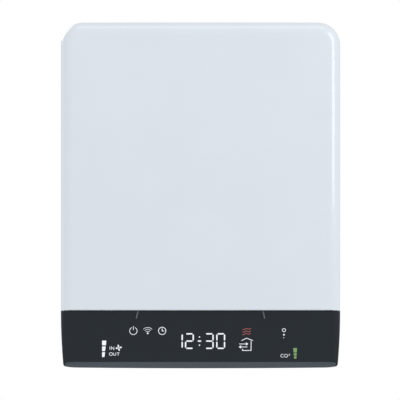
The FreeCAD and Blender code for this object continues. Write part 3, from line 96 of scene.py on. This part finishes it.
def surface(name, colour, rough, drift=0.04, grain=900.0, bump=0.05, rough_drift=0.05, **sockets):
    """A material whose colour, roughness and fine relief vary a little over the surface."""
    material = bpy.data.materials.new(name)
    material.use_nodes = True
    nodes = material.node_tree.nodes
    links = material.node_tree.links
    shader = nodes["Principled BSDF"]
    place = nodes.new("ShaderNodeTexCoord")

    cloud = noise_at(nodes, links, place, SHADE_SCALE)
    low = tuple(max(0.0, c * (1 - drift)) for c in colour)
    high = tuple(min(1.0, c * (1 + drift)) for c in colour)
    links.new(ramp_between(nodes, links, cloud, low, high), shader.inputs["Base Color"])

    wear = noise_at(nodes, links, place, WEAR_SCALE)
    spread = nodes.new("ShaderNodeMapRange")
    spread.inputs["To Min"].default_value = max(0.02, rough - rough_drift)
    spread.inputs["To Max"].default_value = min(1.0, rough + rough_drift)
    links.new(wear.outputs["Fac"], spread.inputs["Value"])
    links.new(spread.outputs["Result"], shader.inputs["Roughness"])

    relief = noise_at(nodes, links, place, grain, 2.0)
    bumps = nodes.new("ShaderNodeBump")
    bumps.inputs["Strength"].default_value = bump
    bumps.inputs["Distance"].default_value = RELIEF_DEPTH
    links.new(relief.outputs["Fac"], bumps.inputs["Height"])
    links.new(bumps.outputs["Normal"], shader.inputs["Normal"])

    for socket, value in sockets.items():
        shader.inputs[socket.replace("_", " ")].default_value = value
    return material


def glow(name, colour, strength):
    """Lit display ink."""
    lit = {"Emission_Color": (*colour, 1), "Emission_Strength": strength}
    return surface(name, colour, 0.35, drift=0.03, bump=0.02, **lit)


COVER_SHADE = (0.752, 0.808, 0.856)
HOUSING_SHADE = (0.70, 0.735, 0.765)
FASCIA_SHADE = (0.011, 0.016, 0.022)
# The bevel trim's slate colour is partly its own satin dark grey and partly a painted reflection of the
# pale floor, which makes the bevel lighter than the fascia.
TRIM_TONE_WITH_PAINTED_REFLECTION = (0.043, 0.058, 0.072)
RIB_SHADE = (0.10, 0.115, 0.13)
LIT_WHITE = (0.92, 0.95, 1.0)
LIT_RED = (0.42, 0.10, 0.095)
LIT_GREEN = (0.17, 0.31, 0.11)

COVER_LACQUER = {"Coat_Weight": 0.6, "Coat_Roughness": 0.08}
FASCIA_GLOSS = {"Specular_IOR_Level": 0.28}

# Each finish is (name, colour, roughness, drift of shade, grain, relief, drift of roughness).
FINISHES = {
    "cover_white": surface("cover_gloss", COVER_SHADE, 0.16, 0.008, 500, 0.012, 0.02, **COVER_LACQUER),
    "housing_white": surface("housing_satin", HOUSING_SHADE, 0.42, 0.015, 1800, 0.10),
    "grille_grey": surface("grille_satin", (0.50, 0.52, 0.54), 0.45, 0.03, 1800, 0.10),
    "fascia_black": surface("fascia_gloss", FASCIA_SHADE, 0.12, 0.03, 400, 0.01, 0.02, **FASCIA_GLOSS),
    # Bevel trim: satin dark grey, lightened by a painted reflection of the pale floor.
    "trim_slate": surface("trim_satin_with_painted_reflection", TRIM_TONE_WITH_PAINTED_REFLECTION, 0.45, 0.04, 900, 0.05),
    "rib_grey": surface("rib_satin", RIB_SHADE, 0.4, 0.05, 900, 0.05),
    "plate_grey": surface("plate_moulded", (0.62, 0.63, 0.64), 0.55, 0.04, 1500, 0.15),
    "duct_grey": surface("duct_moulded", (0.20, 0.22, 0.24), 0.55, 0.05, 1500, 0.15),
    "tube_white": surface("tube_extruded", (0.72, 0.72, 0.69), 0.38, 0.03, 700, 0.06),
    "exchanger_sheet": surface("exchanger_film", (0.45, 0.58, 0.70), 0.3, 0.05, 900, 0.05),
    "exchanger_shell": surface("exchanger_moulded", (0.12, 0.13, 0.15), 0.5, 0.05, 1500, 0.12),
    "seal_foam": surface("seal_foam", (0.02, 0.02, 0.022), 0.95, 0.2, 2500, 0.8),
    "fan_black": surface("fan_moulded", (0.02, 0.02, 0.023), 0.38, 0.1, 1600, 0.12),
    "fan_grey": surface("fan_frame_moulded", (0.07, 0.075, 0.08), 0.48, 0.08, 1600, 0.15),
    "motor_steel": surface("motor_plated", (0.45, 0.45, 0.46), 0.32, 0.06, 1200, 0.1, Metallic=1.0),
    "bright_steel": surface("ground_steel", (0.62, 0.62, 0.63), 0.22, 0.04, 2600, 0.08, Metallic=1.0),
    "screw_steel": surface("zinc_plate", (0.60, 0.60, 0.56), 0.34, 0.07, 2200, 0.12, Metallic=1.0),
    "magnet_nickel": surface("nickel_plate", (0.66, 0.65, 0.62), 0.18, 0.03, 900, 0.04, Metallic=1.0),
    "heater_metal": surface("heater_fins", (0.50, 0.47, 0.43), 0.42, 0.12, 2600, 0.3, Metallic=0.9),
    "heater_frame": surface("heater_resin", (0.62, 0.52, 0.33), 0.6, 0.08, 1500, 0.2),
    "head_grey": surface("head_satin", (0.60, 0.61, 0.61), 0.5, 0.05, 1500, 0.18),
    "filter_paper": surface("filter_fleece", (0.78, 0.79, 0.76), 0.95, 0.08, 3500, 0.9),
    "filter_frame": surface("filter_frame_satin", (0.72, 0.73, 0.74), 0.45, 0.03, 1800, 0.12),
    "fresh_foam": surface("open_foam", (0.05, 0.052, 0.055), 0.98, 0.3, 1400, 1.0),
    "board_green": surface("solder_mask", (0.012, 0.11, 0.045), 0.28, 0.2, 800, 0.1),
    "part_black": surface("part_moulded", (0.018, 0.018, 0.02), 0.45, 0.12, 1700, 0.15),
    "relay_blue": surface("relay_case", (0.02, 0.08, 0.32), 0.35, 0.06, 1500, 0.08),
    "can_blue": surface("can_sleeve", (0.03, 0.035, 0.09), 0.3, 0.1, 1200, 0.05),
    "terminal_green": surface("terminal_moulded", (0.03, 0.30, 0.10), 0.42, 0.06, 1600, 0.12),
    "socket_white": surface("socket_moulded", (0.76, 0.72, 0.62), 0.45, 0.04, 1600, 0.1),
    "fuse_glass": surface("fuse_tube", (0.75, 0.82, 0.82), 0.08, 0.03, 400, 0.02, Transmission_Weight=0.6),
    "ribbon_grey": surface("ribbon_sleeve", (0.42, 0.43, 0.46), 0.4, 0.05, 1200, 0.1),
    "shield_tin": surface("tinned_shield", (0.62, 0.62, 0.60), 0.3, 0.05, 1600, 0.08, Metallic=1.0),
    "guide_white": surface("guide_diffuser", (0.72, 0.74, 0.77), 0.5, 0.03, 1500, 0.1),
    "vane_grey": surface("vane_moulded", (0.33, 0.35, 0.37), 0.5, 0.05, 1500, 0.12),
    "grommet_rubber": surface("grommet_rubber", (0.015, 0.015, 0.015), 0.8, 0.15, 1800, 0.3),
}


def dress_nodes():
    """Gives each CAD node the finish of its slot in the record."""
    for part in frame["record"]["subparts"]:
        node = frame["nodes"][part["node"]]
        for holder in node.material_slots:
            holder.material = FINISHES[part["material_slot"]]


# ---- display marks -----------------------------------------------------------------------------------

# The marks are thin lit pieces, let into the fascia's face. They lie a little off the unit's own middle.
MARK_PROUD = 0.05 * MM
MARK_SUNK = 0.07 * MM
DISPLAY_SHIFT = (-0.6, 1.25)
WHITE = glow("lit_white", LIT_WHITE, 0.12)
RED = glow("lit_red", LIT_RED, 0.2)
GREEN = glow("lit_green", LIT_GREEN, 0.2)


def fascia_depth(x):
    """The fascia's front surface at a distance from its middle."""
    return FASCIA_LOW.y + BOW_RADIUS - math.sqrt(BOW_RADIUS**2 - x**2)


def on_fascia(x, z, raise_by):
    """A point of the display, given in millimetres, on the fascia's bowed front."""
    across = (x + DISPLAY_SHIFT[0]) * MM
    return (across, fascia_depth(across) + raise_by, (z + DISPLAY_SHIFT[1]) * MM)


class Mark:
    """Collects flat closed shapes, in millimetres from the unit's axis, as one thin raised piece."""

    def __init__(self, name, ink):
        self.name = name
        self.ink = ink
        self.points = []
        self.faces = []

    def prism(self, outline):
        """A thin solid over a simple outline given anticlockwise as seen from the room."""
        first = len(self.points)
        count = len(outline)
        for raise_by in (-MARK_PROUD, MARK_SUNK):
            for x, z in outline:
                self.points.append(on_fascia(x, z, raise_by))
        self.faces.append([first + i for i in range(count)])
        self.faces.append([first + count + i for i in reversed(range(count))])
        for i in range(count):
            j = (i + 1) % count
            self.faces.append([first + j, first + i, first + count + i, first + count + j])

    def stroke(self, path, width, closed=False):
        """A line of even width along a path, mitred at its corners."""
        way = [Vector(p) for p in path]
        count = len(way)
        left, right = [], []
        for i in range(count):
            before = way[i] - way[i - 1] if i > 0 or closed else way[1] - way[0]
            after = way[(i + 1) % count] - way[i] if i < count - 1 or closed else before
            side_a = Vector((-before.y, before.x)).normalized()
            side_b = Vector((-after.y, after.x)).normalized()
            mitre = (side_a + side_b).normalized()
            reach = width / 2 / max(0.35, mitre.dot(side_b))
            left.append(way[i] + mitre * reach)
            right.append(way[i] - mitre * reach)
        first = len(self.points)
        for raise_by in (-MARK_PROUD, MARK_SUNK):
            for row in (left, right):
                for p in row:
                    self.points.append(on_fascia(p.x, p.y, raise_by))
        front_l, front_r = first, first + count
        back_l, back_r = first + 2 * count, first + 3 * count
        for i in range(count if closed else count - 1):
            j = (i + 1) % count
            self.faces.append([front_r + i, front_r + j, front_l + j, front_l + i])
            self.faces.append([back_l + i, back_l + j, back_r + j, back_r + i])
            self.faces.append([front_l + i, front_l + j, back_l + j, back_l + i])
            self.faces.append([front_r + j, front_r + i, back_r + i, back_r + j])
        if not closed:
            last = count - 1
            self.faces.append([front_r, front_l, back_l, back_r])
            self.faces.append([front_l + last, front_r + last, back_r + last, back_l + last])

    def disc(self, x, z, radius):
        """A filled circle."""
        self.prism(arc_points(x, z, radius, 0, 345, 24))

    def ring(self, x, z, radius, width):
        """A ring whose outer radius is given."""
        self.stroke(arc_points(x, z, radius - width / 2, 0, 352.5, 48), width, closed=True)

    def done(self):
        """Makes the mesh, and fixes it to the unit."""
        mesh = bpy.data.meshes.new(self.name)
        mesh.from_pydata(self.points, [], self.faces)
        mesh.materials.append(self.ink)
        piece = bpy.data.objects.new(self.name, mesh)
        bpy.context.scene.collection.objects.link(piece)
        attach(piece, "unit")
        return piece


def arc_points(x, z, radius, start, end, count, squash=1.0):
    """Points along an arc between two angles in degrees, anticlockwise from the right."""
    points = []
    for i in range(count):
        angle = math.radians(start + (end - start) * i / (count - 1))
        points.append((x + radius * math.cos(angle), z + radius * squash * math.sin(angle)))
    return points


# Rows of the display, in millimetres above the tube's axis.
ICON_ROW = -150.6
CLOCK_FOOT = -166.5
DIGIT_HEIGHT = 13.9
SEGMENT = 1.18
SEGMENT_GAP = 0.42


def power_icon():
    """An open ring with an upright bar."""
    icon = Mark("icon_power", WHITE)
    x, z, radius = -58.4, ICON_ROW, 3.5
    icon.stroke(arc_points(x, z, radius - 0.24, 118, 422, 40), 0.48)
    icon.stroke([(x, z + 0.7), (x, z + 4.1)], 0.48)
    icon.done()


def radio_icon():
    """A dot under three arcs."""
    icon = Mark("icon_radio", WHITE)
    x, foot = -45.8, ICON_ROW - 2.5
    icon.disc(x, foot + 0.4, 0.75)
    for radius in (2.2, 3.85, 5.5):
        icon.stroke(arc_points(x, foot, radius, 45, 135, 18), 0.34)
    icon.done()


def clock_icon():
    """A ring with two hands."""
    icon = Mark("icon_clock", WHITE)
    x, z, radius = -33.1, ICON_ROW, 3.5
    icon.ring(x, z, radius, 0.54)
    icon.stroke([(x, z + 2.1), (x, z - 0.1), (x + 1.8, z - 0.1)], 0.55)
    icon.done()


def segment(mark, x0, z0, x1, z1):
    """One display segment with pointed ends."""
    half = SEGMENT / 2
    along = Vector((x1 - x0, z1 - z0)).normalized()
    across = Vector((-along.y, along.x)) * half
    start = Vector((x0, z0)) + along * SEGMENT_GAP
    end = Vector((x1, z1)) - along * SEGMENT_GAP
    outline = [
        start,
        start + along * half - across,
        end - along * half - across,
        end,
        end - along * half + across,
        start + along * half + across,
    ]
    mark.prism([(p.x, p.y) for p in outline])


DIGIT_SEGMENTS = {"0": "abcdef", "1": "bc", "2": "abdeg", "3": "abcdg"}


def digit(mark, figure, left, width):
    """A seven-segment figure; a is the top bar, then clockwise, with g in the middle."""
    x0, x1 = left + SEGMENT / 2, left + width - SEGMENT / 2
    low = CLOCK_FOOT + SEGMENT / 2
    high = CLOCK_FOOT + DIGIT_HEIGHT - SEGMENT / 2
    middle = (low + high) / 2
    bars = {
        "a": (x0, high, x1, high),
        "b": (x1, middle, x1, high),
        "c": (x1, low, x1, middle),
        "d": (x0, low, x1, low),
        "e": (x0, low, x0, middle),
        "f": (x0, middle, x0, high),
        "g": (x0, middle, x1, middle),
    }
    for letter in DIGIT_SEGMENTS[figure]:
        segment(mark, *bars[letter])


def clock_digits():
    """The time, with a colon and a dash between its two pairs."""
    time = Mark("clock_digits", WHITE)
    width = 7.9
    for figure, left in (("1", -22.8), ("2", -13.1), ("3", 4.3), ("0", 14.4)):
        digit(time, figure, left, width)
    middle = CLOCK_FOOT + DIGIT_HEIGHT / 2
    for level in (middle + 3.6, middle - 3.6):
        time.disc(-0.3, level, 0.6)
    segment(time, -2.4, middle, 1.8, middle)
    time.done()


def heater_icon():
    """Three wavy lines, one above another, that rise to the right."""
    icon = Mark("icon_heater", RED)
    for row in range(3):
        level = ICON_ROW + 1.7 - 2.2 * row
        left = 37.7 - 0.15 * row
        path = []
        for i in range(25):
            along = i / 24
            rise = 0.42 * math.sin(along * 3.2 * math.pi + 3.4) + 0.7 * along - 0.35
            path.append((left + 7.3 * along, level + rise))
        icon.stroke(path, 0.46)
    icon.done()


def house_icon():
    """A house outline, open at the left, with one arrow in and one out."""
    icon = Mark("icon_house_air", WHITE)
    roof, eaves, foot = -157.0, -159.1, -167.8
    icon.stroke([(36.7, eaves), (41.1, roof), (46.6, eaves)], 0.56)
    icon.stroke([(45.1, eaves - 0.4), (45.0, foot), (37.5, foot), (37.5, foot + 1.4)], 0.56)
    for level, tip, tail in ((-162.1, 42.6, 34.6), (-164.7, 34.2, 41.8)):
        way = math.copysign(1, tip - tail)
        icon.stroke([(tail, level), (tip - way * 1.9, level)], 0.5)
        head = [(tip, level), (tip - way * 2.1, level + way * 1.4), (tip - way * 2.1, level - way * 1.4)]
        icon.prism(head)
    icon.done()


def level_cells(name, ink, cells):
    """A stack of cells given as (left foot, right foot, left top, right top, foot, top)."""
    bar = Mark(name, ink)
    for left_foot, right_foot, left_top, right_top, foot, top in cells:
        bar.prism([(left_foot, foot), (right_foot, foot), (right_top, top), (left_top, top)])
    bar.done()


def fan_level_bar():
    """Three white cells that show the fan speed."""
    level_cells("level_fan", WHITE, [
        (-85.9, -82.6, -85.9, -82.2, -163.3, -159.2),
        (-85.9, -83.4, -85.9, -82.7, -168.4, -164.3),
        (-85.9, -83.9, -85.9, -83.3, -173.6, -169.4),
    ])


def air_quality_bar():
    """Three green cells that show the air quality."""
    level_cells("level_air_quality", GREEN, [
        (82.4, 85.2, 82.1, 85.4, -169.6, -165.7),
        (82.7, 85.0, 82.5, 85.1, -172.4, -170.2),
        (82.9, 84.9, 82.8, 85.0, -175.0, -173.0),
    ])


# Letters are strokes in a box one unit high: (points, whether closed).
CUP = arc_points(0.42, 0.38, 0.34, 195, 345, 7)
LETTERS = {
    "C": [(arc_points(0.5, 0.5, 0.5, 48, 312, 16), False)],
    "O": [(arc_points(0.5, 0.5, 0.5, 0, 345, 24), True)],
    "I": [([(0.12, 0), (0.12, 1)], False)],
    "N": [([(0.08, 0), (0.08, 1), (0.84, 0), (0.84, 1)], False)],
    "U": [([(0.08, 1), (0.08, 0.38), *CUP, (0.76, 0.38), (0.76, 1)], False)],
    "T": [([(0, 0.94), (0.8, 0.94)], False), ([(0.4, 0), (0.4, 0.86)], False)],
    "2": [([*arc_points(0.42, 0.68, 0.30, 170, -30, 9), (0.08, 0.06), (0.78, 0.06)], False)],
}
ADVANCE = {"C": 1.12, "O": 1.22, "I": 0.46, "N": 1.08, "U": 1.06, "T": 0.95, "2": 0.9}


def legend(name, text, left, foot, height, width, stretch=1.0):
    """A word in plain block letters."""
    word = Mark(name, WHITE)
    x = left
    for letter in text:
        for path, closed in LETTERS[letter]:
            points = [(x + px * height * stretch, foot + pz * height) for px, pz in path]
            word.stroke(points, width, closed)
        x += ADVANCE[letter] * height * stretch
    word.done()


# One blade of the fan icon as (distance out, distance aside), both as parts of its reach.
FAN_BLADE = ((0.12, -0.10), (0.72, -0.14), (1.0, 0.02), (0.92, 0.34), (0.58, 0.36), (0.16, 0.12))


def fan_icon():
    """A pinwheel of four blades."""
    icon = Mark("icon_fan", WHITE)
    x, z, reach = -71.3, -165.5, 2.7
    for blade in range(4):
        turn = math.radians(90 * blade + 1)
        outline = []
        for along, aside in FAN_BLADE:
            px, pz = along * reach, aside * reach
            outline.append((
                x + px * math.cos(turn) - pz * math.sin(turn),
                z + px * math.sin(turn) + pz * math.cos(turn),
            ))
        icon.prism(outline)
    icon.done()


def sensor_marks():
    """A ring over two dots."""
    ring = Mark("icon_sensor", WHITE)
    ring.ring(74.0, -150.0, 1.65, 0.5)
    ring.disc(73.9, -154.0, 0.72)
    ring.disc(73.7, -156.7, 0.3)
    ring.done()


def display_marks():
    """All the lit marks of the display."""
    power_icon()
    radio_icon()
    clock_icon()
    clock_digits()
    heater_icon()
    house_icon()
    fan_level_bar()
    air_quality_bar()
    fan_icon()
    sensor_marks()
    legend("legend_in", "IN", -79.4, -167.1, 2.6, 0.38, 1.15)
    legend("legend_out", "OUT", -79.6, -172.3, 2.6, 0.4, 1.12)
    legend("legend_co2", "CO", 71.1, -173.8, 2.7, 0.36, 1.05)
    legend("legend_co2_index", "2", 78.0, -172.2, 1.3, 0.24)


# ---- floor, light and camera -------------------------------------------------------------------------


FLOOR_REACH = 3.3
FLOOR_DROP = 0.75


def add_stage():
    """A plain pale floor, well below the unit."""
    pale = surface("studio_pale", (0.94, 0.94, 0.945), 0.9, 0.01, 40, 0.02)
    mesh = bpy.data.meshes.new("studio_floor")
    reach = FLOOR_REACH
    level = CAD_BOX[0][2] - FLOOR_DROP
    mesh.from_pydata(
        [(-reach, -reach, level), (reach, -reach, level), (reach, reach, level), (-reach, reach, level)],
        [],
        [(0, 1, 2, 3)],
    )
    mesh.materials.append(pale)
    floor = bpy.data.objects.new("studio_floor", mesh)
    bpy.context.scene.collection.objects.link(floor)


def add_world(light, backdrop):
    """Even light from all round, with a brighter plain backdrop to look at."""
    world = bpy.data.worlds.new("studio_air")
    world.use_nodes = True
    nodes = world.node_tree.nodes
    links = world.node_tree.links
    shown = nodes["Background"]
    shown.inputs["Color"].default_value = (1.0, 1.0, 1.0, 1)
    shown.inputs["Strength"].default_value = backdrop
    soft = nodes.new("ShaderNodeBackground")
    soft.inputs["Color"].default_value = (0.97, 0.985, 1.0, 1)
    soft.inputs["Strength"].default_value = light
    path = nodes.new("ShaderNodeLightPath")
    choice = nodes.new("ShaderNodeMixShader")
    links.new(path.outputs["Is Camera Ray"], choice.inputs["Fac"])
    links.new(soft.outputs["Background"], choice.inputs[1])
    links.new(shown.outputs["Background"], choice.inputs[2])
    links.new(choice.outputs["Shader"], nodes["World Output"].inputs["Surface"])
    bpy.context.scene.world = world


def add_softbox(name, place, target, width, height, power, mirrored=True):
    """A soft area lamp; one that is not mirrored gives light but no bright patch on gloss."""
    lamp = bpy.data.lights.new(name, "AREA")
    lamp.shape = "RECTANGLE"
    lamp.size = width
    lamp.size_y = height
    lamp.energy = power
    holder = bpy.data.objects.new(name, lamp)
    holder.location = place
    holder.rotation_euler = (Vector(target) - Vector(place)).to_track_quat("-Z", "Y").to_euler()
    holder.visible_glossy = mirrored
    bpy.context.scene.collection.objects.link(holder)


def add_camera():
    """Straight on from the room and far back, so that the front shows with hardly any perspective."""
    lens = 400.0
    film = 36.0
    seen_width = 353.2 * MM
    outline_depth = -60 * MM
    aside = -0.45 * MM
    drop = 4.1 * MM
    camera = bpy.data.cameras.new("front_view")
    camera.lens = lens
    camera.sensor_width = film
    camera.clip_end = 50
    holder = bpy.data.objects.new("front_view", camera)
    middle = (COVER_HIGH.z + FASCIA_LOW.z) / 2
    holder.location = (aside, outline_depth - seen_width * lens / film, middle - drop)
    holder.rotation_euler = (math.radians(90), 0, 0)
    bpy.context.scene.collection.objects.link(holder)
    bpy.context.scene.camera = holder


dress_nodes()
display_marks()
add_stage()
add_world(light=0.70, backdrop=1.0)
add_softbox("key", (1.25, -0.95, 0.55), (0, 0, 0), 0.7, 1.3, 8)
add_softbox("fill", (-1.3, -0.7, 0.2), (0, 0, 0), 0.7, 1.3, 3.5, mirrored=False)
add_softbox("top", (0.0, -0.5, 1.7), (0, 0.1, 0), 1.6, 0.8, 3)
add_softbox("rear", (-1.2, 1.4, 0.9), (0, 0.2, 0), 1.0, 1.0, 6)
add_camera()
bpy.context.scene.view_settings.view_transform = "Standard"
